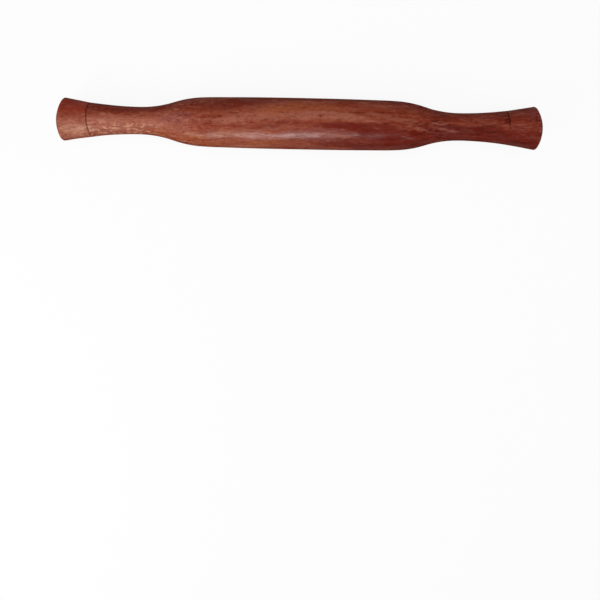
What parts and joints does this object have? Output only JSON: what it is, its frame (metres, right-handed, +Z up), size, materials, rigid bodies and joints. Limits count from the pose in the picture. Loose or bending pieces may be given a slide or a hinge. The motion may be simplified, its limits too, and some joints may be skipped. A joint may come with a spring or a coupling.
{
  "type": "rolling pin",
  "caption": "Slim turned wooden rolling pin: a crowned barrel drawn in to narrow necks and flared, domed handle ends, each capped at a fine V-grooved seam.",
  "frame": {"origin": "on the surface the pin lies on, under the middle of the barrel", "axes": "+X along the pin towards the right end cap, +Y across it, +Z up"},
  "size_m": [0.332, 0.0354, 0.0354],
  "materials": {
    "pin_wood": "reddish-brown close-grained hardwood, oiled to a satin",
    "cap_wood": "reddish-brown close-grained hardwood, oiled to a satin",
    "dowel_wood": "plain pale hardwood, unfinished"
  },
  "bodies": {
    "root": {"pin_body": "pin_wood", "left_end_cap": "cap_wood", "right_end_cap": "cap_wood", "left_dowel": "dowel_wood", "right_dowel": "dowel_wood"}
  },
  "joints": []
}
